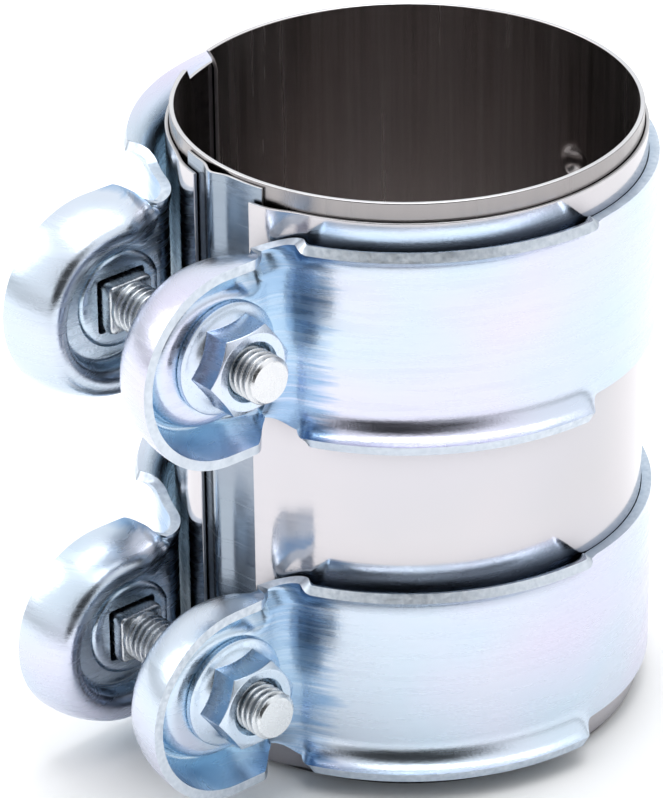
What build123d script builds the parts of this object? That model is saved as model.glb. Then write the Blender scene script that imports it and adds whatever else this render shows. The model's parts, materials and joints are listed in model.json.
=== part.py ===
from build123d import *
import os
from math import asin, atan2, cos, degrees, exp, radians, sin, sqrt

# Two-band sleeve clamp that joins or patches a round pipe.
# Frame: +Z along the sleeve, origin on its axis at mid-length, clamp opening towards -Y,
# bolts along X with their nuts on the +X side. Millimetres.
# Angles round the sleeve are measured from the opening (-Y), positive towards +X.

# ---- Sleeves -------------------------------------------------------------------------
bore_radius = 36.0
inner_wall = 0.8
inner_length = 102.0
inner_gap_start = -74.7      # the inner sleeve's own slit is beside the opening
inner_gap_end = -63.4
corner_height = 4.9          # bevelled corners on the slit's -X side
corner_width = 2.9
tongue_height = 3.0          # tongues left at the corners on its other side
tongue_width = 2.2
cut_overrun = 0.5            # cuts run this far past a sheet's edge
radial_cut = 3.0             # depth of a cut through the sleeves' wall

outer_wall = 0.6
outer_clearance = 0.1
outer_length = 98.0
outer_offset = -1.0
outer_end_left = -9.1
outer_end_right = 10.4
left_lift = 0.6              # the ends of the outer sleeve stand off over the bridge plate
right_lift = 0.9
lift_start = 23.5            # the bands hold the sleeve down beyond this angle
lift_spread = 9.0
round_start = 45.0           # from here to round_stop the outer sleeve is truly round
round_stop = 300.0

bridge_wall = 0.5
bridge_length = 100.8
bridge_left = -14.3
bridge_right = 13.3
bridge_ridge_angle = -2.0
bridge_ridge_height = 1.1
bridge_ridge_spread = 3.0
bridge_clearance = 0.05
short_edge_spans = 20        # spans of the curves that draw a sheet's edge
long_edge_spans = 24

# ---- Bands ---------------------------------------------------------------------------
sheet = 1.6
band_clearance = 0.1
band_width = 30.0
band_pitch = 58.5
band_offset = -1.0
band_slack = 2.6             # the loose band's -X half stands off the sleeve by this much
lip_start = 30.0             # flared lips run from here to lip_stop on both sides
lip_stop = 94.0
lip_radius = 4.2
lip_angle = 75.0
lip_flat_half = 11.5

# ---- Ears ----------------------------------------------------------------------------
floor_gap = 11.8             # gap side of an ear's floor, from the plane of symmetry
pad_depth = 0.6
pad_radius = 7.6
recess_overrun = 0.01        # the recess behind the pad is cut a little past the floor
bead_crest = 7.8
skirt_reach = 17.1
bead_radius = 2.0
floor_radius = 9.6
floor_fillet = 1.0
wall_radius = 14.6
skirt_radius = 16.4
ear_centre_y = -50.0
skirt_end_y = -46.0
root_radius = 4.5

# ---- Fasteners -----------------------------------------------------------------------
bolt_y = -48.2
thread_radius = 3.95             # M8 thread, outside diameter
bolt_length = 38.0
head_radius = 8.6
head_height = 4.6
head_edge = 1.1
seat_bevel_width = 0.8         # bevel under the head's rim, clear of the ear's bend
seat_bevel_height = 0.4
neck_side = 8.1
neck_length = 4.8
neck_corner = 0.8
neck_hole_side = 9.2
round_hole_radius = 4.5
seat_clearance = 0.05
nut_flats = 13.0
nut_height = 6.8
nut_bevel_share = 0.6          # height of the bevel on its corners, as a share of its width
nut_bevel_inset = 0.2
nut_turn = 5.0
flange_radius = 9.1
flange_rim = 1.15
flange_height = 2.3
nut_bore_radius = 4.01
bore_bevel = 0.8
tip_chamfer = 0.6

# ---- Dimples that lock the bands to the sleeves ------------------------------------------
dimple_radius = 4.0
dimple_wall = 0.75
dimple_height = 1.8
dimple_root = 0.45             # the dimple's wall starts this far under the sleeve's outside
outer_dimple_gap = 0.4
band_dimple_gap = 0.9

# ---- Derived -------------------------------------------------------------------------
inner_outside = bore_radius + inner_wall
outer_inside = inner_outside + outer_clearance
outer_outside = outer_inside + outer_wall
bridge_inside = inner_outside + bridge_clearance
band_inside = outer_outside + band_clearance
band_outside = band_inside + sheet
band_heights = {"lower": band_offset - band_pitch / 2, "upper": band_offset + band_pitch / 2}
seat_x = floor_gap + sheet
root_centre_x = seat_x + root_radius
dimple_centre = inner_outside + dimple_height - dimple_radius
dimple_foot = inner_outside - dimple_root - dimple_centre


def around(radius, angle):
    """Point in plan at a radius and an angle from the opening."""
    return (radius * sin(radians(angle)), -radius * cos(radians(angle)))


def radial_plane(angle, centre_x=0.0):
    """Plane through an upright axis: local x points outwards, local y is +Z."""
    turn = radians(angle)
    outwards = (sin(turn), -cos(turn), 0)
    across = (-cos(turn), -sin(turn), 0)
    return Plane(origin=(centre_x, 0, 0), x_dir=outwards, z_dir=across)


def smooth(value):
    """Smooth step from 0 to 1."""
    value = min(max(value, 0.0), 1.0)
    return value * value * (3 - 2 * value)


def curved_sheet(first, last, count, inside, wall):
    """Closed outline of a thin sheet between two angles; inside(angle) is its inner radius."""
    angles = [first + (last - first) * step / count for step in range(count + 1)]
    inner_points = [around(inside(angle), angle) for angle in angles]
    outer_points = [around(inside(angle) + wall, angle) for angle in angles]
    inner_edge = Spline(*inner_points)
    outer_edge = Spline(*outer_points)
    Line(inner_edge @ 0, outer_edge @ 0)
    Line(inner_edge @ 1, outer_edge @ 1)


def end_plane(angle):
    """Plane that faces outwards at a sheet end: local x runs round the sleeve, local y is +Z."""
    turn = radians(angle)
    centre = around(bore_radius - cut_overrun, angle)
    tangent = (cos(turn), sin(turn), 0)
    return Plane(origin=(*centre, 0), x_dir=tangent, z_dir=(sin(turn), -cos(turn), 0))


def corner_outline(level):
    """Outline of the bevel cut off one corner beside the slit."""
    up = cut_overrun if level > 0 else -cut_overrun
    drop = -corner_height if level > 0 else corner_height
    return [
        (-cut_overrun, level + up),
        (corner_width, level + up),
        (corner_width, level),
        (0, level + drop),
        (-cut_overrun, level + drop),
    ]


def tongue_outline():
    """Outline of the sheet cut away between the two tongues beside the slit."""
    top = inner_length / 2
    return [
        (cut_overrun, top),
        (0, top),
        (-tongue_width, top - tongue_height),
        (-tongue_width, tongue_height - top),
        (0, -top),
        (cut_overrun, -top),
    ]


# ---- Inner sleeve: a rolled sheet with a slit and a pressed dimple behind each band ---------
tongue_angle = inner_gap_start + degrees(tongue_width / (bore_radius + inner_wall / 2))
with BuildPart() as inner_sleeve:
    with BuildSketch(radial_plane(inner_gap_end)):
        with Locations((bore_radius + inner_wall / 2, 0)):
            Rectangle(inner_wall, inner_length)
    revolve(axis=Axis.Z, revolution_arc=360 + tongue_angle - inner_gap_end)
    for height in band_heights.values():
        dome_plane = Plane(origin=(0, dimple_centre, height), x_dir=(0, 0, -1), z_dir=(1, 0, 0))
        with BuildSketch(dome_plane):
            Circle(dimple_radius)
            with Locations((0, dimple_foot - dimple_radius)):
                Rectangle(3 * dimple_radius, 2 * dimple_radius, mode=Mode.SUBTRACT)
            with Locations((-dimple_radius, 0)):
                Rectangle(2 * dimple_radius, 3 * dimple_radius, mode=Mode.SUBTRACT)
        revolve(axis=Axis((0, 0, height), (0, 1, 0)), revolution_arc=360)
        with Locations((0, dimple_centre, height)):
            Sphere(dimple_radius - dimple_wall, mode=Mode.SUBTRACT)
    for level in (-inner_length / 2, inner_length / 2):
        with BuildSketch(end_plane(inner_gap_end)):
            Polygon(*corner_outline(level), align=None)
        extrude(amount=radial_cut, mode=Mode.SUBTRACT)
    with BuildSketch(end_plane(tongue_angle)):
        Polygon(*tongue_outline(), align=None)
    extrude(amount=radial_cut, mode=Mode.SUBTRACT)


# ---- Bridge plate: closes the outer sleeve's opening from inside ------------------------------
def bridge_radius(angle):
    ridge = exp(-(((angle - bridge_ridge_angle) / bridge_ridge_spread) ** 2))
    return bridge_inside + bridge_ridge_height * ridge


with BuildPart() as bridge_plate:
    with BuildSketch(Plane.XY.offset(-bridge_length / 2)):
        with BuildLine():
            curved_sheet(bridge_left, bridge_right, long_edge_spans, bridge_radius, bridge_wall)
        make_face()
    extrude(amount=bridge_length)


# ---- Outer sleeve: its ends ride over the bridge plate ------------------------------------------
def lifted_radius(angle):
    left = left_lift * smooth((angle - 360 + lift_start) / lift_spread)
    right = right_lift * smooth((lift_start - angle) / lift_spread)
    return outer_inside + left + right


with BuildPart() as outer_sleeve:
    with BuildSketch(Plane.XY.offset(outer_offset - outer_length / 2)):
        with BuildLine():
            curved_sheet(outer_end_right, round_start, short_edge_spans, lifted_radius, outer_wall)
        make_face()
        with BuildLine():
            last = 360 + outer_end_left
            curved_sheet(round_stop, last, long_edge_spans, lifted_radius, outer_wall)
        make_face()
    extrude(amount=outer_length)
    with BuildSketch(radial_plane(round_start)):
        with Locations((outer_inside + outer_wall / 2, outer_offset)):
            Rectangle(outer_wall, outer_length)
    revolve(axis=Axis.Z, revolution_arc=round_stop - round_start)
    for height in band_heights.values():
        with Locations(Location((0, outer_inside, height), (90, 0, 0))):
            Cylinder(dimple_radius - outer_dimple_gap, 2 * radial_cut, mode=Mode.SUBTRACT)


# ---- Clamp bands ----------------------------------------------------------------------------------
def lip_outline(sign):
    """Section of one flared edge of a band, in radius and height from the band's middle."""
    turn = radians(lip_angle)
    centre = band_outside + lip_radius
    inside = lip_radius + sheet
    half = radians(lip_angle / 2)
    start_out = (band_outside, sign * lip_flat_half)
    start_in = (band_inside, sign * lip_flat_half)
    middle_out = (centre - lip_radius * cos(half), sign * (lip_flat_half + lip_radius * sin(half)))
    middle_in = (centre - inside * cos(half), sign * (lip_flat_half + inside * sin(half)))
    end_out = (centre - lip_radius * cos(turn), sign * (lip_flat_half + lip_radius * sin(turn)))
    end_in = (centre - inside * cos(turn), sign * (lip_flat_half + inside * sin(turn)))
    ThreePointArc(start_out, middle_out, end_out)
    Line(end_out, end_in)
    ThreePointArc(end_in, middle_in, start_in)
    Line(start_in, start_out)


def ear_outline(reach):
    """Half section of an ear's floor, bead and skirt: x across the clamp, y out from its centre."""
    crest_x = bead_crest + bead_radius
    crest_y = wall_radius - bead_radius
    inside = bead_radius - sheet
    slope = (skirt_radius - wall_radius) / (skirt_reach - crest_x)
    edge = wall_radius + slope * (reach - crest_x)
    foot = floor_radius + floor_fillet
    fillet_centre = (floor_gap - floor_fillet, floor_radius)
    Line((floor_gap, 0), (floor_gap, floor_radius))
    CenterArc(fillet_centre, floor_fillet, 0, 90)
    Line((floor_gap - floor_fillet, foot), (crest_x, foot))
    ThreePointArc((crest_x, foot), (bead_crest, (foot + wall_radius) / 2), (crest_x, wall_radius))
    Line((crest_x, wall_radius), (reach, edge))
    Line((reach, edge), (reach, edge - sheet))
    Line((reach, edge - sheet), (crest_x, crest_y + inside))
    hollow_top = (crest_x, crest_y + inside)
    ThreePointArc(hollow_top, (bead_crest + sheet, crest_y), (crest_x, crest_y - inside))
    Line((crest_x, crest_y - inside), (floor_gap - floor_fillet, crest_y - inside))
    CenterArc(fillet_centre, floor_fillet + sheet, 0, 90)
    Line((seat_x, floor_radius), (seat_x, 0))
    Line((seat_x, 0), (floor_gap, 0))


def make_half_band(slack):
    """The +X half of a band; its strip is an arc about an axis at x = slack."""
    root_x = root_centre_x - slack
    root_y = -sqrt((band_outside + root_radius) ** 2 - root_x**2)
    root_angle = degrees(atan2(root_x, -root_y))
    strip_axis = Axis((slack, 0, 0), (0, 0, 1))
    with BuildPart() as half:
        # strip round the sleeve
        with BuildSketch(radial_plane(root_angle, slack)):
            with Locations((band_outside - sheet / 2, 0)):
                Rectangle(sheet, band_width)
        revolve(axis=strip_axis, revolution_arc=180 - root_angle)
        # flared lips
        with BuildSketch(radial_plane(lip_start, slack)):
            for sign in (-1, 1):
                with BuildLine():
                    lip_outline(sign)
                make_face()
        revolve(axis=strip_axis, revolution_arc=lip_stop - lip_start)
        # bend from the strip into the ear's floor
        with BuildSketch(Plane.XY.offset(-band_width / 2)):
            with BuildLine():
                centre = (root_centre_x, root_y)
                bend = 90 - root_angle
                outer_arc = CenterArc(centre, root_radius + sheet, 90 + root_angle, bend)
                inner_arc = CenterArc(centre, root_radius, 90 + root_angle, bend)
                Line(outer_arc @ 0, inner_arc @ 0)
                Line(outer_arc @ 1, inner_arc @ 1)
            make_face()
        extrude(amount=band_width)
        # round end of the ear
        centre_plane = Plane(origin=(0, ear_centre_y, 0), x_dir=(1, 0, 0), z_dir=(0, -1, 0))
        with BuildSketch(centre_plane):
            with BuildLine():
                ear_outline(skirt_reach)
            make_face()
        revolve(axis=Axis((0, ear_centre_y, 0), (1, 0, 0)), revolution_arc=180)
        # straight sides of the ear, first with the skirt and then only the bead
        for reach, end_y in ((skirt_reach, skirt_end_y), (seat_x, root_y)):
            with BuildSketch(centre_plane):
                with BuildLine():
                    ear_outline(reach)
                make_face()
                mirror(about=Plane.XZ)
            extrude(amount=ear_centre_y - end_y)
        # raised pad and its recess under the nut or the bolt head
        pad_origin = (floor_gap - pad_depth, bolt_y, 0)
        pad_plane = Plane(origin=pad_origin, x_dir=(0, 1, 0), z_dir=(1, 0, 0))
        with BuildSketch(pad_plane):
            Circle(pad_radius)
        extrude(amount=pad_depth)
        with BuildSketch(pad_plane.offset(sheet)):
            Circle(pad_radius - pad_depth)
        extrude(amount=pad_depth + recess_overrun, mode=Mode.SUBTRACT)
    return half.part


def make_band(height):
    """One band with its two drawn ears and a short straight at its back."""
    with BuildPart() as band:
        add(make_half_band(0))
        add(mirror(make_half_band(band_slack), about=Plane.YZ))
        with Locations((-band_slack / 2, band_outside - sheet / 2, 0)):
            Box(band_slack, sheet, band_width)
        # square hole for the bolt's neck, round hole on the nut's side, hole for the dimple
        head_side = Plane(origin=(-seat_x - sheet, bolt_y, 0), x_dir=(0, 1, 0), z_dir=(1, 0, 0))
        with BuildSketch(head_side):
            Rectangle(neck_hole_side, neck_hole_side)
        extrude(amount=4 * sheet, mode=Mode.SUBTRACT)
        nut_side = Plane(origin=(seat_x + sheet, bolt_y, 0), x_dir=(0, 1, 0), z_dir=(-1, 0, 0))
        with BuildSketch(nut_side):
            Circle(round_hole_radius)
        extrude(amount=4 * sheet, mode=Mode.SUBTRACT)
        back = Plane(origin=(0, band_inside - sheet, 0), x_dir=(1, 0, 0), z_dir=(0, 1, 0))
        with BuildSketch(back):
            Circle(dimple_radius - band_dimple_gap)
        extrude(amount=3 * sheet, mode=Mode.SUBTRACT)
    return band.part.moved(Location((0, 0, height)))


def make_bolt(height):
    """Carriage bolt: domed head in the -X ear, square neck, shank with the thread's outside diameter."""
    head_x = -seat_x - seat_clearance
    neck_x = head_x + neck_length
    tip_x = head_x + bolt_length
    axis = Axis((0, bolt_y, height), (1, 0, 0))
    rise = head_height - head_edge
    dome = (head_radius**2 + rise**2) / (2 * rise)
    half = asin(head_radius / dome) / 2
    rim = (head_x - head_edge, head_radius)
    crown = (head_x - head_height + dome * (1 - cos(half)), dome * sin(half))
    with BuildPart() as bolt:
        with BuildSketch(Plane(origin=(0, bolt_y, height), x_dir=(1, 0, 0), z_dir=(0, -1, 0))):
            with BuildLine():
                Line((head_x, 0), (head_x, head_radius - seat_bevel_width))
                bevel_top = (head_x - seat_bevel_height, head_radius)
                Line((head_x, head_radius - seat_bevel_width), bevel_top)
                Line(bevel_top, (head_x - head_edge, head_radius))
                ThreePointArc(rim, crown, (head_x - head_height, 0))
                Line((head_x - head_height, 0), (head_x, 0))
            make_face()
            with BuildLine():
                Polyline(
                    (neck_x, 0),
                    (neck_x, thread_radius),
                    (tip_x - tip_chamfer, thread_radius),
                    (tip_x, thread_radius - tip_chamfer),
                    (tip_x, 0),
                    close=True,
                )
            make_face()
        revolve(axis=axis, revolution_arc=360)
        with BuildSketch(Plane(origin=(head_x, bolt_y, height), x_dir=(0, 1, 0), z_dir=(1, 0, 0))):
            RectangleRounded(neck_side, neck_side, neck_corner)
        extrude(amount=neck_length)
    return bolt.part


def make_nut(height):
    """Hexagon flange nut that seats on the +X ear."""
    origin = (seat_x + seat_clearance, bolt_y, height)
    face_plane = Plane(origin=origin, x_dir=(0, 1, 0), z_dir=(1, 0, 0))
    section_plane = Plane(origin=origin, x_dir=(1, 0, 0), z_dir=(0, -1, 0))
    axis = Axis(origin, (1, 0, 0))
    corner_radius = nut_flats / sqrt(3)
    bevel = corner_radius - nut_flats / 2
    with BuildPart() as nut:
        with BuildSketch(face_plane):
            RegularPolygon(corner_radius, 6, rotation=nut_turn)
        extrude(amount=nut_height)
        # bevel on the six corners of the free face
        with BuildSketch(section_plane):
            with BuildLine():
                Polyline(
                    (nut_height - bevel * nut_bevel_share, corner_radius),
                    (nut_height - bevel * nut_bevel_share, corner_radius + bevel),
                    (nut_height, corner_radius + bevel),
                    (nut_height, nut_flats / 2 - nut_bevel_inset),
                    close=True,
                )
            make_face()
        revolve(axis=axis, revolution_arc=360, mode=Mode.SUBTRACT)
        # flange with its sloping top
        with BuildSketch(section_plane):
            with BuildLine():
                Polyline(
                    (0, 0),
                    (0, flange_radius),
                    (flange_rim, flange_radius),
                    (flange_height, nut_flats / 2),
                    (flange_height, 0),
                    close=True,
                )
            make_face()
        revolve(axis=axis, revolution_arc=360)
        # bore with a bevel at its free end
        with BuildSketch(face_plane):
            Circle(nut_bore_radius)
        extrude(amount=nut_height, mode=Mode.SUBTRACT)
        with BuildSketch(section_plane):
            with BuildLine():
                Polyline(
                    (nut_height - bore_bevel, nut_bore_radius),
                    (nut_height, nut_bore_radius + bore_bevel),
                    (nut_height, nut_bore_radius),
                    close=True,
                )
            make_face()
        revolve(axis=axis, revolution_arc=360, mode=Mode.SUBTRACT)
    return nut.part


pieces = {
    "inner_sleeve": inner_sleeve.part,
    "outer_sleeve": outer_sleeve.part,
    "bridge_plate": bridge_plate.part,
}
for place, height in band_heights.items():
    pieces[place + "_band"] = make_band(height)
    pieces[place + "_bolt"] = make_bolt(height)
    pieces[place + "_nut"] = make_nut(height)

os.makedirs("parts", exist_ok=True)
for label, piece in pieces.items():
    piece.label = label
    export_step(piece, f"parts/{label}.step")
    print(label, round(piece.volume, 1), "mm3", len(piece.solids()), "solid")
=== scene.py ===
import json
from math import acos, atan2, ceil, cos, degrees, exp, hypot, radians, sin, sqrt

import bmesh
import bpy
from mathutils import Matrix, Vector


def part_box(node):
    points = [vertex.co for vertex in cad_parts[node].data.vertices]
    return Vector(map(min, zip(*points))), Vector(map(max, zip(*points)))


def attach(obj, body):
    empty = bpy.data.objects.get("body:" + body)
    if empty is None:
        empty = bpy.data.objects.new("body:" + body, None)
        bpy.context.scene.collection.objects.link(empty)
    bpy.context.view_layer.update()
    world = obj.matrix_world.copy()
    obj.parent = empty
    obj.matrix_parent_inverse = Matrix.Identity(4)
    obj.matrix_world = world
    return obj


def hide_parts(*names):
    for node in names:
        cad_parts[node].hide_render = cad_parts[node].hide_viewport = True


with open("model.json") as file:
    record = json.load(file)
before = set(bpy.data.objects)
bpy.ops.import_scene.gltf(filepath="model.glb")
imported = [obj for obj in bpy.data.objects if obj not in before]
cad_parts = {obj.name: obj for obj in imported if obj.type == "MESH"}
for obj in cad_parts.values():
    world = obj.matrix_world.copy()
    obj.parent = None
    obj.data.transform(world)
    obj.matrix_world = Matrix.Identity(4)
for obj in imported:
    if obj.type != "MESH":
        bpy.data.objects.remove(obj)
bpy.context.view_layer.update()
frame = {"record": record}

# Looks of a pipe repair clamp: a rolled steel sleeve in two layers, held by two bands that each
# close with a bolt and a flange nut through a pair of dished ears.
#
# Lengths are in millimetres and angles in degrees unless a comment says otherwise, and the mesh
# code turns them into metres. Angles round the sleeve start at the opening, which faces -Y, and
# grow towards +X. "Offset" is outwards from a sheet's middle surface and "width" is along Z.
MM = 0.001


# ---- Sizes read from the frame ---------------------------------------------------------------
def box_mm(node):
    """Lowest and highest corner of a CAD node in millimetres."""
    low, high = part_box(node)
    return low / MM, high / MM


joints = {joint["name"]: joint for joint in frame["record"]["behaviour"]["joints"]}
places = ("lower", "upper")
nut_point = {place: Vector(joints[place + "_nut_turn"]["pos_m"]) / MM for place in places}
band_height = {place: nut_point[place].z for place in places}
bolt_y = nut_point["lower"].y
inner_low, inner_high = box_mm("inner_sleeve")
outer_low, outer_high = box_mm("outer_sleeve")
bridge_low, bridge_high = box_mm("bridge_plate")
band_low, band_high = box_mm("lower_band")
nut_low, nut_high = box_mm("lower_nut")
bolt_low, bolt_high = box_mm("lower_bolt")

# ---- Sizes of the sleeves --------------------------------------------------------------------
inner_wall = 0.8
inner_radius = inner_high.x - inner_wall / 2          # middle of the wall
inner_gap = (-74.7, -63.4)                            # the inner sleeve's own slit
corner_width = 2.9                                    # bevelled corners on one side of the slit
corner_height = 4.9
tongue_width = 2.2                                    # and tongues on the other
tongue_height = 3.0
slit_reach = 8.0                                      # how far from the slit they bend the grid
outer_wall = 0.6
outer_radius = outer_high.x - outer_wall / 2
outer_ends = (10.4, 350.9)
left_lift = 0.6                                       # the ends ride over the bridge plate
right_lift = 0.9
lift_start = 23.5
lift_spread = 9.0
sheet_gap = 0.05                                      # between the sleeves' layers
bridge_wall = 0.5
bridge_radius = inner_high.x + sheet_gap + bridge_wall / 2
bridge_ends = (-14.3, 13.3)
ridge_angle = -2.0
ridge_height = 1.1
ridge_spread = 3.0
dimple_radius = 3.62                                  # of the dimple's spherical middle surface
dimple_rise = 1.8
dimple_fillet = 0.9
dimple_foot = 0.45                                    # height of the fillet round its foot
sleeve_hole = 3.6                                     # radius of the outer sleeve's hole for it
band_hole = 3.1                                       # and of the band's
sleeve_edge = {"inner": 0.22, "outer": 0.16, "bridge": 0.14}      # rounding of cut edges

# ---- Sizes of the bands ----------------------------------------------------------------------
sheet = 1.6
band_gap = 0.1                                        # between a band and the outer sleeve
band_radius = outer_high.x + band_gap + sheet / 2
band_slack = -(band_high.x + band_low.x)              # the loose -X half stands off the sleeve
lip_radius = 5.0                                      # middle surface of the flared edges
lip_flat = 11.5
lip_length = 6.5                                      # about 75 degrees of flare
lip_ends = {1: (21.5, 28.0), -1: (28.5, 34.5)}        # where each half's lip grows to full size
lip_fade = (90.0, 98.0)                               # and where both lips flatten out,
lip_step = (90.5, 96.0)                               # their edges stepping back
strip_rest = 3.35                                     # from the flat part to a plain edge
nut_gap = 0.05                                        # between a nut and the ear's floor
floor_x = nut_low.x - nut_gap - sheet / 2
bend_radius = 5.3
bend_x = floor_x + bend_radius
back_half = 4.75                                      # half side of the patch round a dimple
ear_y = -50.0                                         # centre of the ear's round end
full_y = (-49.2, -48.8)                               # where the bead's height and crest are full
floor_y = -44.5                                       # where the floor is at its narrowest
root_fade = 1.5                                       # from the root to where the bead grows
ear_reach = 17.1                                      # offset of the skirt's cut edge
ear_wall_end = 15.6                                   # half width of the ear at that edge
wall_lean = 64.0                                      # of the wall, below the bead
wall_lean_end = 90.0                                  # and at the skirt's cut edge
root_lean = 0.6                                       # share of the lean that is left at the root
wall_length = 8.0
bead_lean = 80.0
bead_crest = 8.6
bead_fillet = 1.5
bead_top = 1.5
root_bead = 0.3                                       # what is left of the bead at the root
root_crest = 11.3
root_top = 2.0
root_width = 14.2
skirt_corner_y = -44.9
skirt_round = 1.5                                     # exponent of the skirt corner's curve
tip_floor = 8.4                                       # half width of the floor's inner part
root_floor = 7.0
pad_inner = 7.0                                       # radii of the raised pad round the hole
pad_outer = 7.6
pad_depth = 0.6
pad_clearance = 0.15                                  # from the pad to the floor's outline
bolt_hole = 4.5                                       # radius of the nut side's round hole
neck_hole = (4.6, 0.7)                                # half side and corner of the head side's
edge_columns = 46
floor_columns = 16
band_edge = 0.28                                      # rounding of the cut edges


# ---- Helpers ---------------------------------------------------------------------------------
def smooth(value):
    """Smooth step from 0 to 1."""
    value = min(max(value, 0.0), 1.0)
    return value * value * (3 - 2 * value)


def ramp(value, start, stop):
    """Smooth step from 0 at start to 1 at stop."""
    return smooth((value - start) / (stop - start))


def spread(start, stop, count):
    """Evenly spaced values that cut start to stop into count parts."""
    return [start + (stop - start) * step / count for step in range(count + 1)]


def around(radius, angle, height):
    """Point round the sleeve's axis."""
    turn = radians(angle)
    return Vector((radius * sin(turn), -radius * cos(turn), height))


def rounded_square(angle, half, corner):
    """Radius, at an angle, of a square with rounded corners."""
    turn = abs((angle + 45) % 90 - 45)
    direction = (cos(radians(turn)), sin(radians(turn)))
    straight = half / direction[0]
    centre = half - corner
    if straight * direction[1] <= centre:
        return straight
    along = (direction[0] + direction[1]) * centre
    return along + sqrt(max(along**2 - 2 * centre**2 + corner**2, 0))


# ---- Mesh code -------------------------------------------------------------------------------
weld_distance = 0.004
sliver_length = 0.0005
hole_ring_shares = (0, 0.35, 0.65, 0.85, 1)           # from a patch's square to its round hole


def add_grid(mesh, rows, closed=False):
    """Quads between rows of points; closed joins each row's end to its start."""
    made = [[mesh.verts.new(Vector(point) * MM) for point in row] for row in rows]
    count = len(made[0])
    for first, second in zip(made, made[1:]):
        for column in range(count if closed else count - 1):
            after = (column + 1) % count
            mesh.faces.new((first[column], first[after], second[after], second[column]))
    return made


def add_object(name, mesh, material):
    """Turns a bmesh into a smooth-shaded object."""
    bmesh.ops.remove_doubles(mesh, verts=mesh.verts, dist=weld_distance * MM)
    bmesh.ops.dissolve_degenerate(mesh, edges=mesh.edges, dist=sliver_length * MM)
    bmesh.ops.recalc_face_normals(mesh, faces=mesh.faces)
    data = bpy.data.meshes.new(name)
    mesh.to_mesh(data)
    mesh.free()
    data.shade_smooth()
    data.materials.append(material)
    made = bpy.data.objects.new(name, data)
    bpy.context.scene.collection.objects.link(made)
    return made


def round_edges(piece, width, angle, segments=2):
    """Rounds the edges that are sharper than an angle."""
    bevel = piece.modifiers.new("rounded_edges", "BEVEL")
    bevel.width = width * MM
    bevel.segments = segments
    bevel.limit_method = "ANGLE"
    bevel.angle_limit = radians(angle)
    bevel.harden_normals = True


def thicken(piece, wall, edge, rim, segments=2):
    """Gives a sheet its wall and rounds its cut edges, which have a finish of their own."""
    piece.data.materials.append(rim)
    solid = piece.modifiers.new("wall", "SOLIDIFY")
    solid.thickness = wall * MM
    solid.offset = 0
    solid.use_even_offset = True
    solid.use_quality_normals = True
    solid.material_offset_rim = 1
    round_edges(piece, edge, 50, segments)


def stand_for(piece, node, body):
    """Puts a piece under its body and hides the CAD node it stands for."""
    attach(piece, body)
    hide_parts(node)


def sheet_points(across, along, hole_centres, hole_radius, place_point, mesh):
    """Sheet over lines across and along, with round holes in square patches."""

    def in_hole(u, v):
        return any(
            abs(u - centre[0]) < back_half and abs(v - centre[1]) < back_half
            for centre in hole_centres
        )

    for u0, u1 in zip(across, across[1:]):
        for v0, v1 in zip(along, along[1:]):
            if not in_hole((u0 + u1) / 2, (v0 + v1) / 2):
                corners = ((u0, v0), (u1, v0), (u1, v1), (u0, v1))
                mesh.faces.new([mesh.verts.new(place_point(u, v) * MM) for u, v in corners])
    for cu, cv in hole_centres:
        inside_u = [u for u in across if abs(u - cu) < back_half + 0.01]
        inside_v = [v for v in along if abs(v - cv) < back_half + 0.01]
        square = [(u, inside_v[0]) for u in inside_u[:-1]]
        square += [(inside_u[-1], v) for v in inside_v[:-1]]
        square += [(u, inside_v[-1]) for u in reversed(inside_u[1:])]
        square += [(inside_u[0], v) for v in reversed(inside_v[1:])]
        rings = []
        for share in hole_ring_shares:
            ring = []
            for u, v in square:
                distance = hypot(u - cu, v - cv)
                scale = 1 - share + share * hole_radius / distance
                ring.append(place_point(cu + (u - cu) * scale, cv + (v - cv) * scale))
            rings.append(ring)
        add_grid(mesh, rings, closed=True)


def hole_lines(first, last, centres, coarse, fine):
    """Line positions from first to last that are fine across each hole patch."""
    lines = []
    start = first
    for centre in sorted(centres):
        stop = centre - back_half
        lines += spread(start, stop, max(1, ceil((stop - start) / coarse)))[:-1]
        count = ceil(2 * back_half / fine)
        lines += spread(stop, centre + back_half, count)[:-1]
        start = centre + back_half
    return lines + spread(start, last, max(1, ceil((last - start) / coarse)))


# ---- Sleeves ---------------------------------------------------------------------------------
def dimple_lift(distance):
    """Height of a pressed dimple over the sheet at a distance from its centre."""
    base = sqrt(dimple_radius**2 - (dimple_radius - dimple_rise) ** 2)
    if distance > base + dimple_fillet:
        return 0.0
    dome = sqrt(max(dimple_radius**2 - distance**2, 0)) - (dimple_radius - dimple_rise)
    blend = ramp(distance, base - dimple_fillet, base + dimple_fillet)
    foot = dimple_foot * (1 - blend) ** 2
    return max(dome, 0) * (1 - blend) + foot * blend


def make_inner_sleeve():
    """Inner sleeve, cut through by its slit, with its corners, tongues and dimples."""
    mesh = bmesh.new()
    scale = degrees(1 / inner_radius)
    middle = 180.0
    first = (inner_gap[1] - middle) / scale
    last = (inner_gap[0] + 360 - middle) / scale
    across = hole_lines(first, last, [0], 1.0, 0.35)
    along = hole_lines(inner_low.z, inner_high.z, band_height.values(), 2.0, 0.35)

    def point(u, v):
        corner = (first, corner_width, corner_height)
        tongue = (last, tongue_width, tongue_height)
        for end, move, height in (corner, tongue):
            level = max(0.0, abs(v) - (inner_high.z - height)) / height
            u += move * level * max(0.0, 1 - abs(u - end) / slit_reach)
        lift = sum(dimple_lift(hypot(u, v - height)) for height in band_height.values())
        return around(inner_radius + lift, middle + u * scale, v)

    add_grid(mesh, [[point(u, v) for v in along] for u in across])
    piece = add_object("inner_sleeve_sheet", mesh, finish["inner"])
    thicken(piece, inner_wall, sleeve_edge["inner"], finish["cut_steel"])
    stand_for(piece, "inner_sleeve", "clamp_body")


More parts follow.
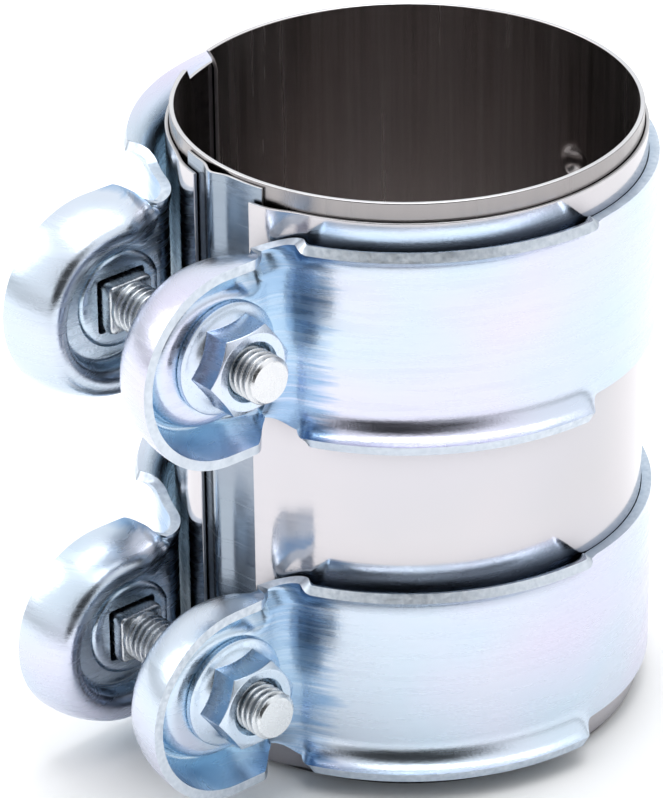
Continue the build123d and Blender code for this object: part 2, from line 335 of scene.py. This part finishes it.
def make_outer_sleeve():
    """Outer sleeve, open under the ears, with holes for the dimples."""
    mesh = bmesh.new()
    scale = degrees(1 / outer_radius)
    first, last = [(angle - 180) / scale for angle in outer_ends]
    across = hole_lines(first, last, [0], 1.2, 0.8)
    along = hole_lines(outer_low.z, outer_high.z, band_height.values(), 2.4, 0.8)

    def point(u, v):
        angle = 180 + u * scale
        lift = left_lift * ramp(angle, 360 - lift_start, 360 - lift_start + lift_spread)
        lift += right_lift * (1 - ramp(angle, lift_start - lift_spread, lift_start))
        return around(outer_radius + lift, angle, v)

    centres = [(0, height) for height in band_height.values()]
    sheet_points(across, along, centres, sleeve_hole, point, mesh)
    piece = add_object("outer_sleeve_sheet", mesh, finish["sleeve"])
    thicken(piece, outer_wall, sleeve_edge["outer"], finish["cut_steel"])
    stand_for(piece, "outer_sleeve", "clamp_body")


def make_bridge_plate():
    """Strip between the sleeves that closes the outer one's opening, with a low ridge."""
    mesh = bmesh.new()
    rows = []
    for angle in spread(*bridge_ends, 60):
        ridge = ridge_height * exp(-(((angle - ridge_angle) / ridge_spread) ** 2))
        levels = spread(bridge_low.z, bridge_high.z, 60)
        rows.append([around(bridge_radius + ridge, angle, level) for level in levels])
    add_grid(mesh, rows)
    piece = add_object("bridge_plate_sheet", mesh, finish["bridge"])
    thicken(piece, bridge_wall, sleeve_edge["bridge"], finish["cut_steel"])
    stand_for(piece, "bridge_plate", "clamp_body")


# ---- Bands -----------------------------------------------------------------------------------
def trace(parts, step=0.2):
    """Points (offset, width, length) along (length, curvature) parts from the origin."""
    offset = width = length = turned = 0.0
    points = [(offset, width, length)]
    for part, curvature in parts:
        count = max(1, ceil(part / step))
        for _ in range(count):
            middle = turned + curvature * part / count / 2
            offset += sin(middle) * part / count
            width += cos(middle) * part / count
            turned += curvature * part / count
            length += part / count
            points.append((offset, width, length))
    return points


def resample(points, total, count):
    """Evenly spaced (offset, width) along traced points, up to a length."""
    found = []
    index = 0
    for wanted in spread(0, total, count):
        while index < len(points) - 2 and points[index + 1][2] < wanted:
            index += 1
        first, second = points[index], points[index + 1]
        share = (wanted - first[2]) / max(second[2] - first[2], 1e-9)
        offset, width = (a + (b - a) * share for a, b in zip(first[:2], second[:2]))
        found.append((offset, width))
    return found


def length_at_offset(points, offset):
    """Length along traced points where they last rise through an offset."""
    for first, second in zip(reversed(points[:-1]), reversed(points[1:])):
        if first[0] <= offset < second[0]:
            share = (offset - first[0]) / (second[0] - first[0])
            return first[2] + (second[2] - first[2]) * share
    return points[-1][2]


def ear_section(y, root_y):
    """Edge of the ear across its straight part at y: bead, wall and skirt as (offset, width)."""
    share = min(1.0, max(0.0, (root_y - y) / (root_y - skirt_corner_y)))
    bead = root_bead + (1 - root_bead) * ramp(y, root_y - root_fade, full_y[0])
    crest = root_crest + (bead_crest - root_crest) * ramp(y, root_y, full_y[1])
    lean = wall_lean * (root_lean + (1 - root_lean) * ramp(share, 0, 0.4))
    top = bead_top + (root_top - bead_top) * (1 - bead)
    tilt = radians(bead_lean * bead)
    line = max(0.0, floor_x - crest - (bead_fillet + top) * (1 - cos(tilt))) / sin(tilt)
    curl = radians(wall_lean_end - wall_lean) / wall_length
    parts = [
        (bead_fillet * tilt, -1 / bead_fillet),
        (line + 1e-4, 0),
        (top * (tilt + radians(lean)), 1 / top),
        (wall_length, curl),
        (wall_length, 0),
    ]
    climb = 1 - (1 - share) ** skirt_round
    reach = crest - floor_x + 0.02 + (ear_reach - crest) * climb
    points = trace(parts)
    length = length_at_offset(points, reach)
    end = root_width + (ear_wall_end - root_width) * ramp(share, 0.1, 1.1)
    inner_edge = tip_floor + (root_floor - tip_floor) * ramp(y, bolt_y, floor_y)
    flat = end - resample(points, length, 1)[-1][1] - inner_edge
    found = resample(trace([(flat, 0)] + parts), flat + length, edge_columns)
    return [(offset, width + inner_edge) for offset, width in found]


def strip_section(angle, inner_edge, half):
    """Edge of the strip at an angle, with its flared lip, as (offset, width)."""
    grown = ramp(angle, *half["lip"])
    flare = grown * (1 - ramp(angle, *lip_fade))
    length = strip_rest + (lip_length - strip_rest) * grown
    length -= (lip_length - strip_rest) * ramp(angle, *lip_step)
    flat = lip_flat - inner_edge
    points = trace([(flat, 0), (length, flare / lip_radius)])
    found = resample(points, flat + length, edge_columns)
    return [(offset, width + inner_edge) for offset, width in found]


def half_sizes(side):
    """What differs between a band's two halves: slack, bend, lip and hole."""
    slack = band_slack if side < 0 else 0.0
    root_y = -sqrt((band_radius + bend_radius) ** 2 - (bend_x - slack) ** 2)
    return {
        "side": side,
        "slack": slack,
        "root_y": root_y,
        "start": degrees(atan2(bend_x - slack, -root_y)),
        "lip": lip_ends[side],
        "hole": round_hole if side > 0 else square_hole,
    }


def band_stations(half):
    """Places along half a band from the ear's centre to the back: (kind, value)."""
    straight = spread(ear_y, -47, 4)[:-1] + spread(-47, half["root_y"], 22)[:-1]
    bend = spread(0, 90 - half["start"], 16)[:-1]
    last = 180 - degrees(back_half / band_radius)
    strip = spread(half["start"], 38, 18)[:-1] + spread(38, 88, 28)[:-1]
    strip += spread(88, 100, 24)[:-1] + spread(100, last, 36)
    found = [("ear", y) for y in straight] + [("bend", turn) for turn in bend]
    return found + [("strip", angle) for angle in strip]


def station_point(kind, value, offset, width, half):
    """Point of half a band, offset outwards from its middle surface."""
    if kind == "ear":
        return Vector((floor_x + offset, value, width))
    if kind == "bend":
        turn = radians(value)
        reach = bend_radius - offset
        return Vector((bend_x - reach * cos(turn), half["root_y"] + reach * sin(turn), width))
    return around(band_radius + offset, value, width) + Vector((half["slack"], 0, 0))


def edge_sections(stations, half):
    """Edge section at each station; through the bend the ear's turns into the strip's."""
    root = ear_section(half["root_y"], half["root_y"])
    inner_edge = root[0][1]
    foot = strip_section(half["start"], inner_edge, half)
    found = []
    for kind, value in stations:
        if kind == "ear":
            found.append(ear_section(value, half["root_y"]))
        elif kind == "bend":
            share = smooth(value / (90 - half["start"]))
            found.append([tuple(Vector(a).lerp(Vector(b), share)) for a, b in zip(root, foot)])
        else:
            found.append(strip_section(value, inner_edge, half))
    return found


def round_hole(angle):
    return bolt_hole


def square_hole(angle):
    """Hole for the bolt's square neck."""
    return rounded_square(angle, *neck_hole)


def floor_rings(boundary, hole):
    """Rings from an ear's hole, over its raised pad, to the floor's outline (y, z)."""
    polar = [(hypot(y - bolt_y, z), atan2(z, y - bolt_y)) for y, z in boundary]
    edge = [(far, min(pad_outer, far - pad_clearance), t) for far, t in polar]
    slope = pad_outer - pad_inner
    rows = []
    for share in (0, 0.3, 0.65):
        row = []
        for _, pad, t in edge:
            near = hole(degrees(t))
            row.append((near + (pad - slope - 0.1 - near) * share, t, -pad_depth))
        rows.append(row)
    for share in spread(0, 1, 5):
        lift = -pad_depth * (1 - smooth(share))
        rows.append([(pad - slope * (1 - share), t, lift) for _, pad, t in edge])
    for share in (0.12, 0.35, 0.65, 1):
        rows.append([(pad + (far - pad) * share, t, 0.0) for far, pad, t in edge])
    return [
        [(floor_x + lift, bolt_y + radius * cos(t), radius * sin(t)) for radius, t, lift in row]
        for row in rows
    ]


def add_half_band(mesh, side):
    """One ear with its bend and half of the strip."""
    half = half_sizes(side)
    stations = band_stations(half)
    sections = edge_sections(stations, half)
    edge = [
        [station_point(kind, value, offset, width, half) for offset, width in section]
        for (kind, value), section in zip(stations, sections)
    ]
    # both edges, which mirror each other
    grids = []
    for sign in (1, -1):
        grids.append([[Vector((p.x, p.y, p.z * sign)) for p in row] for row in edge])
    # round end of the ear
    tip = []
    for turn in spread(-90, 90, 44):
        across, down = cos(radians(turn)), sin(radians(turn))
        tip.append([Vector((floor_x + o, ear_y - w * across, w * down)) for o, w in sections[0]])
    grids.append(tip)
    # strip between the edges
    middle = []
    for (kind, value), section in zip(stations, sections):
        if kind != "ear":
            widths = spread(-section[0][1], section[0][1], floor_columns)
            middle.append([station_point(kind, value, 0, width, half) for width in widths])
    grids.append(middle)
    for grid in grids:
        add_grid(mesh, [[(side * p.x, p.y, p.z) for p in row] for row in grid])
    # floor round the hole
    straight = [(row[0].y, row[0].z) for (kind, _), row in zip(stations, edge) if kind == "ear"]
    boundary = [(row[0].y, row[0].z) for row in tip] + straight[1:]
    boundary += [(p.y, p.z) for p in reversed(middle[0])]
    boundary += [(y, -z) for y, z in reversed(straight[1:])]
    rings = floor_rings(boundary, half["hole"])
    add_grid(mesh, [[(side * x, y, z) for x, y, z in ring] for ring in rings], closed=True)
    return sections[-1]


def back_point(u, v):
    """Point at the band's back, u along it from the dimple; -X is past a short straight."""
    if -band_slack <= u <= 0:
        return Vector((u, band_radius, v))
    past = u if u > 0 else u + band_slack
    point = around(band_radius, 180 - degrees(past / band_radius), v)
    return point + Vector((u - past, 0, 0))


def make_band(place):
    """Band in one sheet: two ears, the strip between them and the hole at its back."""
    mesh = bmesh.new()
    section = add_half_band(mesh, 1)
    add_half_band(mesh, -1)
    # back of the band, with its hole for the dimple
    outer = [width for _, width in section]
    inner = spread(-outer[0], outer[0], floor_columns)
    shown = [-z for z in reversed(outer)] + inner[1:-1] + outer
    nearest = min(inner, key=lambda z: abs(z - back_half))
    along = [z * back_half / nearest if abs(z) < nearest + 0.01 else z for z in shown]
    across = [-back_half - band_slack, -back_half - band_slack / 2]
    across += spread(-back_half, back_half, 8)

    def point(u, v):
        near_end = min(1.0, (back_half - u) / 0.8, (u + back_half + band_slack) / 0.8)
        if v in along:
            v += (shown[along.index(v)] - v) * (1 - near_end)
        return back_point(u, v)

    sheet_points(across, along, [(0, 0)], band_hole, point, mesh)
    piece = add_object(place + "_band_sheet", mesh, finish["band"])
    piece.data.transform(Matrix.Translation((0, 0, band_height[place] * MM)))
    thicken(piece, sheet, band_edge, finish["cut_zinc"], 3)
    stand_for(piece, place + "_band", "clamp_body")


# ---- Fasteners -------------------------------------------------------------------------------
pitch = 1.25
thread_radius = 3.95
thread_depth = 0.72
thread_flank = (0.1, 0.86)                            # where a flank starts and ends, as shares
thread_round = 0.9                                    # exponent that rounds the thread's root
thread_rows_per_turn = 18
run_out = 1.2                                         # length over which the thread gets its depth
neck_length = 4.8
neck_half = 4.05
neck_corner = 0.8
head_radius = bolt_high.y - bolt_y
head_height = 4.6
head_edge = 1.1
head_bevel = 0.95                                     # under the head, clear of the ear's bead
tip_chamfer = 0.7
tip_slope = 0.9
tip_inset = 0.12                                      # the rim of the tip, short of the CAD's end
cap_bulge = 0.1
nut_flats = 13.0
nut_turn = 5.0                                        # how the hexagon is turned at rest
nut_columns = 144
nut_bevel = 0.25                                      # of the hexagon's top corners
nut_bevel_slope = 0.6
nut_edge = 0.14
bore_radius = 4.01
bore_bevel = 0.4                                      # at the seat
mouth = 0.85                                          # and at the top
flange_radius = nut_high.y - bolt_y
flange_foot = 0.15
flange_round = 0.25
flange_rim_top = 0.97
flange_edge = (7.5, 1.45)                             # radius and height where the slope changes
flange_slopes = (0.25, 0.75)                          # outside and inside that radius
bolt_columns = 56


def thread_profile(phase):
    """Depth share of an M8 thread at a phase from 0 to 1; 0 is the crest."""
    distance = abs(phase - round(phase)) * 2
    return ramp(distance, *thread_flank) ** thread_round


def ring(x_at, radius_at, count, turn=0.0):
    """Closed row of points round the bolt's axis; x_at gives the place along it at a radius."""
    found = []
    for step in range(count):
        angle = turn + 360 * step / count
        radius = radius_at(angle)
        found.append((x_at(radius), radius * cos(radians(angle)), radius * sin(radians(angle))))
    return found


def bolt_ring(x, radius_at):
    return ring(lambda _: x, radius_at, bolt_columns)


def neck_radius(angle):
    return rounded_square(angle, neck_half, neck_corner)


def head_rows(seat):
    """Domed head from its crown to the underside."""
    rise = head_height - head_edge
    dome = (head_radius**2 + rise**2) / (2 * rise)
    limit = acos((dome - rise) / dome)
    rows = []
    for share in spread(0.02, 0.97, 18):
        angle = limit * share
        rows.append((seat - head_height + dome * (1 - cos(angle)), dome * sin(angle)))
    # rim, rounded above and bevelled below
    rows.append((seat - head_edge - 0.08, head_radius - 0.1))
    rows += [(seat - head_edge + 0.2, head_radius), (seat - 0.5, head_radius)]
    rows += [(seat - 0.42, head_radius - 0.06), (seat - 0.03, head_radius - 0.84)]
    rows.append((seat, head_radius - head_bevel))
    rows.append((seat, (head_radius + neck_half * 1.3) / 2))
    return [bolt_ring(x, lambda _, r=radius: r) for x, radius in rows]


def thread_rows(start, stop):
    """Helical thread that gains its depth after start and is chamfered before stop."""
    rows = []
    count = int((stop - start) / pitch * thread_rows_per_turn)
    for x in spread(start, stop, count):
        taper = min(1.0, max(0.0, (x - start) / run_out))
        cone = thread_radius - max(0.0, x - (stop - tip_chamfer)) * tip_slope

        def radius(angle, x=x, taper=taper, cone=cone):
            depth = thread_depth * thread_profile(x / pitch - angle / 360) * taper
            return min(thread_radius - depth, cone)

        rows.append(bolt_ring(x, radius))
    return rows


def cap(mesh, row, x, outwards):
    """Closes a row with shrinking rings and a small centre fan."""
    rows = [row]
    for share in (0.9, 0.6, 0.25):
        bulge = outwards * (1 - share) * cap_bulge
        rows.append([(x + bulge, p[1] * share, p[2] * share) for p in row])
    last = add_grid(mesh, rows, closed=True)[-1]
    middle = mesh.verts.new(Vector((x + outwards * cap_bulge, 0, 0)) * MM)
    for first, second in zip(last, last[1:] + last[:1]):
        mesh.faces.new((first, second, middle))


def make_bolt(place):
    """Carriage bolt: domed head, square neck, thread."""
    mesh = bmesh.new()
    seat = bolt_low.x + head_height
    neck_end = seat + neck_length
    rows = head_rows(seat)
    crown = rows[0]
    for x in (seat, seat + 0.3, seat + 2, neck_end - 0.5):
        rows.append(bolt_ring(x, neck_radius))
    rows.append(bolt_ring(neck_end - 0.12, lambda a: neck_radius(a) - 0.12))
    rows.append(bolt_ring(neck_end, lambda a: neck_radius(a) - 0.35))
    rows.append(bolt_ring(neck_end + 0.02, lambda a: thread_radius + 0.01))
    tip = bolt_high.x - tip_inset
    rows += thread_rows(neck_end + 0.05, tip)
    add_grid(mesh, rows, closed=True)
    cap(mesh, crown, seat - head_height + cap_bulge, -1)
    cap(mesh, rows[-1], tip, 1)
    piece = add_object(place + "_bolt_solid", mesh, finish["bolt"])
    piece.data.transform(Matrix.Translation(Vector((0, bolt_y, band_height[place])) * MM))
    piece.data.set_sharp_from_angle(angle=radians(46))
    stand_for(piece, place + "_bolt", place + "_bolt_body")


def hexagon_radius(angle):
    turn = (angle - nut_turn) % 60 - 30
    return nut_flats / 2 / cos(radians(turn))


def flange_top(radius):
    """Height over the seat of the flange's top, which is steeper towards the hexagon."""
    edge_radius, edge_height = flange_edge
    slope = flange_slopes[0] if radius > edge_radius else flange_slopes[1]
    return edge_height + (edge_radius - radius) * slope


def make_nut(place):
    """Hexagon nut with a sloping flange, in rings from its bore over the outside to the seat."""
    mesh = bmesh.new()
    seat = nut_low.x
    height = nut_high.x - seat
    chamfer = nut_flats / 2 - nut_bevel

    def nut_ring(height_at, radius_at):
        return ring(lambda r: seat + height_at(r), radius_at, nut_columns, nut_turn)

    def plain_ring(height_over_seat, radius):
        return nut_ring(lambda _: height_over_seat, lambda _: radius)

    def hexagon_ring(share):
        """Ring on the flats, a share of the way from the flange to the bevelled top."""

        def height_at(radius):
            low = flange_top(radius)
            high = height - max(0.0, radius - chamfer) * nut_bevel_slope
            return low + (high - low) * share

        return nut_ring(height_at, hexagon_radius)

    def flange_ring(share):
        """Ring on the flange, a share of the way from the hexagon to the rim."""

        def radius_at(angle):
            near = hexagon_radius(angle)
            return near + (flange_radius - flange_round - near) * share

        return nut_ring(flange_top, radius_at)

    foot = plain_ring(0.0, bore_radius + bore_bevel)
    rows = [
        foot,
        plain_ring(bore_bevel, bore_radius),
        plain_ring(height - mouth, bore_radius),
        plain_ring(height, bore_radius + mouth),
        plain_ring(height, chamfer),
    ]
    rows += [hexagon_ring(share) for share in (1.0, 0.75, 0.5, 0.25, 0.0)]
    rows += [flange_ring(share) for share in (0.25, 0.5, 0.75, 1.0)]
    rows.append(plain_ring(flange_rim_top, flange_radius))
    rows.append(plain_ring(flange_foot, flange_radius))
    rows.append(plain_ring(0.0, flange_radius - flange_foot))
    rows.append(foot)
    add_grid(mesh, rows, closed=True)
    piece = add_object(place + "_nut_solid", mesh, finish["nut"])
    piece.data.transform(Matrix.Translation(Vector((0, bolt_y, band_height[place])) * MM))
    round_edges(piece, nut_edge, 24)
    stand_for(piece, place + "_nut", place + "_nut_body")


# ---- Materials -------------------------------------------------------------------------------
hollow_shade_reach = 0.008                                  # metres looked at for hollows, which get a painted shade
hollow_shade_range = (0.25, 0.85)                           # open shares with the full painted shade and with none
# painted shade in the bands' concave bends: a deeper blue towards the bends' axes
bend_axis_y = -40.1
bend_shade = 0.85
bend_shade_reach = (0.0045, 0.0078)                   # metres from the bend's axis
streak_reach = (-0.0022, 0.0022)                      # metres that streaks move that shade by
streak_scale = (40.0, 40.0, 1100.0)
drift_scale = (22.0, 22.0, 30.0)
grain_depth = 0.00003                                 # metres


class Shader:
    """A node material with a few short ways to add and join nodes."""

    def __init__(self, name):
        self.material = bpy.data.materials.new(name)
        self.material.use_nodes = True
        self.tree = self.material.node_tree
        self.surface = self.tree.nodes["Principled BSDF"]

    def add(self, kind, inputs=None, **settings):
        """New node with these inputs and settings."""
        made = self.tree.nodes.new(kind)
        for key, value in settings.items():
            setattr(made, key, value)
        for key, value in (inputs or {}).items():
            self.give(made, key, value)
        return made

    def give(self, receiver, key, value):
        """Links an input to a socket or sets its value."""
        socket = receiver.inputs[key]
        if isinstance(value, bpy.types.NodeSocket):
            self.tree.links.new(value, socket)
        else:
            socket.default_value = value

    def noise(self, stretch, detail=3.0, roughness=0.5):
        """Noise over the object's metres, stretched by a scale for each axis."""
        coordinates = self.add("ShaderNodeTexCoord")
        mapping = self.add(
            "ShaderNodeMapping", {"Vector": coordinates.outputs["Object"], "Scale": stretch}
        )
        inputs = {"Scale": 1.0, "Detail": detail, "Roughness": roughness}
        inputs["Vector"] = mapping.outputs["Vector"]
        return self.add("ShaderNodeTexNoise", inputs).outputs["Fac"]

    def spread(self, value, low, high, start=0.3, stop=0.7):
        """Moves a value's range from start...stop to low...high."""
        made = self.add(
            "ShaderNodeMapRange",
            {"Value": value, "From Min": start, "From Max": stop, "To Min": low, "To Max": high},
        )
        return made.outputs["Result"]

    def blend(self, share, first, second):
        """Colour a share of the way from the first to the second."""
        made = self.add("ShaderNodeMix", data_type="RGBA")
        self.give(made, 0, share)
        self.give(made, 6, first)
        self.give(made, 7, second)
        return made.outputs[2]

    def math(self, operation, *values):
        return self.add("ShaderNodeMath", dict(enumerate(values)), operation=operation).outputs[0]

    def painted_bend_shade(self):
        """Share of painted shade that rises towards the bends' axes, with streaks along the strip.
        """
        coordinates = self.add("ShaderNodeTexCoord").outputs["Object"]
        split = self.add("ShaderNodeSeparateXYZ", {"Vector": coordinates})
        across = self.math("SUBTRACT", self.math("ABSOLUTE", split.outputs["X"]), bend_x * MM)
        along = self.math("ADD", split.outputs["Y"], -bend_axis_y * MM)
        squares = [self.math("MULTIPLY", value, value) for value in (across, along)]
        streaks = self.spread(self.noise(streak_scale, 4.0, 0.65), *streak_reach)
        distance = self.math("ADD", self.math("SQRT", self.math("ADD", *squares)), streaks)
        return self.spread(distance, bend_shade, 0.0, *bend_shade_reach)

    def outside(self):
        """1 on surfaces that face away from the sleeve's axis."""
        geometry = self.add("ShaderNodeNewGeometry")
        facing = self.add("ShaderNodeVectorMath", operation="DOT_PRODUCT")
        self.give(facing, 0, geometry.outputs["Normal"])
        self.give(facing, 1, geometry.outputs["Position"])
        return self.math("GREATER_THAN", facing.outputs["Value"], 0.0)

    def bump(self, height, strength, distance):
        made = self.add(
            "ShaderNodeBump",
            {"Height": height, "Strength": strength, "Distance": distance},
        )
        return made.outputs["Normal"]


def metal(name, tints, hollow_shade, rough, lines, bump, grain=1900.0, mottle=45.0, extra_shade=None):
    """Bare or plated metal: drifting tints, painted shade in hollows, uneven gloss and grain.

    Lines, grain and mottle are noise scales; the last argument, when given, is a painted shade:
    where it goes, and its colour.
    """
    shader = Shader(name)
    surface = shader.surface
    cloud = shader.noise((mottle, mottle, mottle), 3.0)
    drift = shader.noise(drift_scale, 2.0)
    fine = shader.noise(lines, 4.0, 0.6)
    speckle = shader.noise((grain, grain, grain), 2.0)
    shader.give(surface, "Metallic", 1.0)
    first, second, third = [(*tint, 1) for tint in tints]
    tint = shader.blend(shader.spread(cloud, 0.0, 1.0), first, second)
    tint = shader.blend(shader.spread(drift, 0.0, 1.0, 0.45, 0.75), tint, third)
    if extra_shade:
        share_of, colour = extra_shade
        tint = shader.blend(share_of(shader), tint, (*colour, 1))
    # painted shade: where ambient occlusion finds nearby surfaces, the tint turns to the colour
    # given for hollows
    nearby = shader.add("ShaderNodeAmbientOcclusion", {"Distance": hollow_shade_reach}, samples=6)
    unshaded_share = shader.spread(nearby.outputs["AO"], 0.0, 1.0, *hollow_shade_range)
    shader.give(surface, "Base Color", shader.blend(unshaded_share, (*hollow_shade, 1), tint))
    shader.give(surface, "Roughness", shader.spread(fine, *rough))
    relief = shader.math("ADD", fine, speckle)
    shader.give(surface, "Normal", shader.bump(relief, bump, grain_depth))
    return shader.material


def make_finishes():
    """Every finish by name; the last two are the sheets' cut edges."""
    steel_lines = (30.0, 30.0, 1800.0)
    turned_lines = (300.0, 900.0, 900.0)
    # after each finish's three tints comes the colour of its painted shade in hollows
    return {
        # inner sleeve: tints darker than the outer sleeve's stand for painted shade inside the
        # tube, and its outward faces, in the gap under the outer sleeve, get a darker painted
        # shade
        "inner": metal(
            "stainless_inner_painted_shade", ((0.47, 0.43, 0.42), (0.42, 0.39, 0.385), (0.45, 0.43, 0.43)),
            (0.05, 0.045, 0.05), (0.14, 0.3), (500.0, 500.0, 10.0), 0.12,
            extra_shade=(Shader.outside, (0.33, 0.31, 0.31)),
        ),
        "sleeve": metal(
            "stainless_outer", ((0.6, 0.57, 0.59), (0.56, 0.55, 0.57), (0.58, 0.56, 0.6)),
            (0.1, 0.1, 0.12), (0.08, 0.18), steel_lines, 0.12,
        ),
        # bridge plate: darker, bluer tints than the sleeves' stainless stand for a painted dark
        # reflection
        "bridge": metal(
            "stainless_bridge_painted_reflection", ((0.32, 0.37, 0.43), (0.26, 0.31, 0.38), (0.36, 0.38, 0.43)),
            (0.03, 0.035, 0.05), (0.14, 0.3), steel_lines, 0.25,
        ),
        "band": metal(
            "zinc_band", ((0.62, 0.67, 0.76), (0.56, 0.67, 0.77), (0.7, 0.63, 0.78)),
            (0.54, 0.72, 0.86), (0.18, 0.34), (60.0, 60.0, 900.0), 0.6,
            # deeper blue painted shade in the bends
            extra_shade=(Shader.painted_bend_shade, (0.22, 0.38, 0.6)),
        ),
        "bolt": metal(
            "zinc_bolt", ((0.7, 0.72, 0.74), (0.64, 0.68, 0.71), (0.7, 0.7, 0.72)),
            (0.3, 0.33, 0.36), (0.2, 0.34), turned_lines, 0.3,
        ),
        "nut": metal(
            "zinc_nut", ((0.64, 0.71, 0.8), (0.58, 0.7, 0.82), (0.64, 0.68, 0.8)),
            (0.54, 0.72, 0.88), (0.18, 0.32), turned_lines, 0.3,
        ),
        "cut_steel": metal(
            "cut_stainless_edge", ((0.66, 0.66, 0.67), (0.56, 0.56, 0.58), (0.62, 0.6, 0.6)),
            (0.4, 0.39, 0.39), (0.3, 0.5), (700.0, 700.0, 700.0), 0.6,
        ),
        "cut_zinc": metal(
            "cut_zinc_edge", ((0.5, 0.56, 0.63), (0.72, 0.77, 0.83), (0.62, 0.67, 0.74)),
            (0.3, 0.42, 0.56), (0.3, 0.55), (600.0, 600.0, 600.0), 1.0, 1500.0, 1100.0,
        ),
    }


# ---- Stage -----------------------------------------------------------------------------------
floor_half = 3000
floor_tint = (0.96, 0.96, 0.96)
floor_roughness = 0.85
dome_tint = (0.97, 0.985, 1.0)
dome_strength = 1.2
dark_strength = 0.04
dark_patch_direction = (0.671, -0.567, 0.477)
dark_patch_cosines = (0.74, 0.93)                     # where the patch starts and is darkest
horizon_share = 0.6                                   # of the dome's strength
horizon_reach = 0.4
top_softbox = {"place": (0.0, 0.1, 1.2), "size": (0.9, 0.9), "power": 8}          # in metres
side_softbox = {"place": (-0.8, -0.7, 0.7), "size": (0.5, 0.7), "power": 3}
view_azimuth = 49.8                                   # where the camera stands, seen from above
view_elevation = 28.5275
view_roll = -0.6255
view_distance = 772.8
view_shift = (-12.14, -1.84)                          # sideways, and along Z
view_lens = 218.34
sensor_width = 36


def make_floor():
    mesh = bmesh.new()
    across = spread(-floor_half, floor_half, 8)
    add_grid(mesh, [[(x, y, inner_low.z) for y in across] for x in across])
    shader = Shader("studio_floor")
    shader.give(shader.surface, "Base Color", (*floor_tint, 1))
    shader.give(shader.surface, "Roughness", floor_roughness)
    floor = add_object("studio_floor_plane", mesh, shader.material)


def make_light(name, place, size, power):
    """Soft rectangular light aimed at the middle of the object."""
    data = bpy.data.lights.new(name, "AREA")
    data.shape = "RECTANGLE"
    data.size, data.size_y = size
    data.energy = power
    light = bpy.data.objects.new(name, data)
    light.location = place
    light.rotation_euler = (-Vector(place)).to_track_quat("-Z", "Y").to_euler()
    bpy.context.scene.collection.objects.link(light)


def make_dome():
    """Pale dome with a soft dark patch where a camera and its operator would stand."""
    world = bpy.data.worlds.new("studio")
    world.use_nodes = True
    tree = world.node_tree

    def node(kind, **settings):
        made = tree.nodes.new(kind)
        for key, value in settings.items():
            setattr(made, key, value)
        return made

    def share(source, *limits):
        """Smooth step over a socket; limits are its start and stop, then the two results."""
        made = node("ShaderNodeMapRange", interpolation_type="SMOOTHSTEP")
        tree.links.new(source, made.inputs["Value"])
        for key, value in zip(("From Min", "From Max", "To Min", "To Max"), limits):
            made.inputs[key].default_value = value
        return made.outputs["Result"]

    direction = node("ShaderNodeTexCoord").outputs["Generated"]
    facing = node("ShaderNodeVectorMath", operation="DOT_PRODUCT")
    tree.links.new(direction, facing.inputs[0])
    facing.inputs[1].default_value = dark_patch_direction
    patch = share(facing.outputs["Value"], *dark_patch_cosines, dome_strength, dark_strength)
    split = node("ShaderNodeSeparateXYZ")
    tree.links.new(direction, split.inputs[0])
    horizon = share(split.outputs["Z"], 0.0, horizon_reach, horizon_share, 1.0)
    strength = node("ShaderNodeMath", operation="MULTIPLY")
    tree.links.new(patch, strength.inputs[0])
    tree.links.new(horizon, strength.inputs[1])
    background = tree.nodes["Background"]
    background.inputs["Color"].default_value = (*dome_tint, 1)
    tree.links.new(strength.outputs[0], background.inputs["Strength"])
    bpy.context.scene.world = world


def make_camera():
    """Camera that looks down at the clamp from one side, a little rolled and shifted."""
    azimuth, elevation, roll = map(radians, (view_azimuth, view_elevation, view_roll))
    forward = Vector(
        (-sin(azimuth) * cos(elevation), cos(azimuth) * cos(elevation), -sin(elevation))
    )
    right = Vector((cos(azimuth), sin(azimuth), 0))
    up = right.cross(forward)
    turned_right = right * cos(roll) + up * sin(roll)
    turned_up = up * cos(roll) - right * sin(roll)
    place = turned_right * view_shift[0] - forward * view_distance
    place += Vector((0, 0, view_shift[1]))
    data = bpy.data.cameras.new("photo_camera")
    data.lens = view_lens
    data.sensor_width = sensor_width
    data.dof.use_dof = False
    camera = bpy.data.objects.new("photo_camera", data)
    turn = Matrix((turned_right, turned_up, -forward)).transposed()
    camera.matrix_world = Matrix.Translation(place * MM) @ turn.to_4x4()
    bpy.context.scene.collection.objects.link(camera)
    bpy.context.scene.camera = camera


# ---- The clamp on its stage ------------------------------------------------------------------
finish = make_finishes()
make_inner_sleeve()
make_outer_sleeve()
make_bridge_plate()
for place in places:
    make_band(place)
    make_bolt(place)
    make_nut(place)
make_floor()
make_dome()
make_light("top_softbox", **top_softbox)
make_light("side_softbox", **side_softbox)
make_camera()
bpy.context.scene.view_settings.view_transform = "Standard"
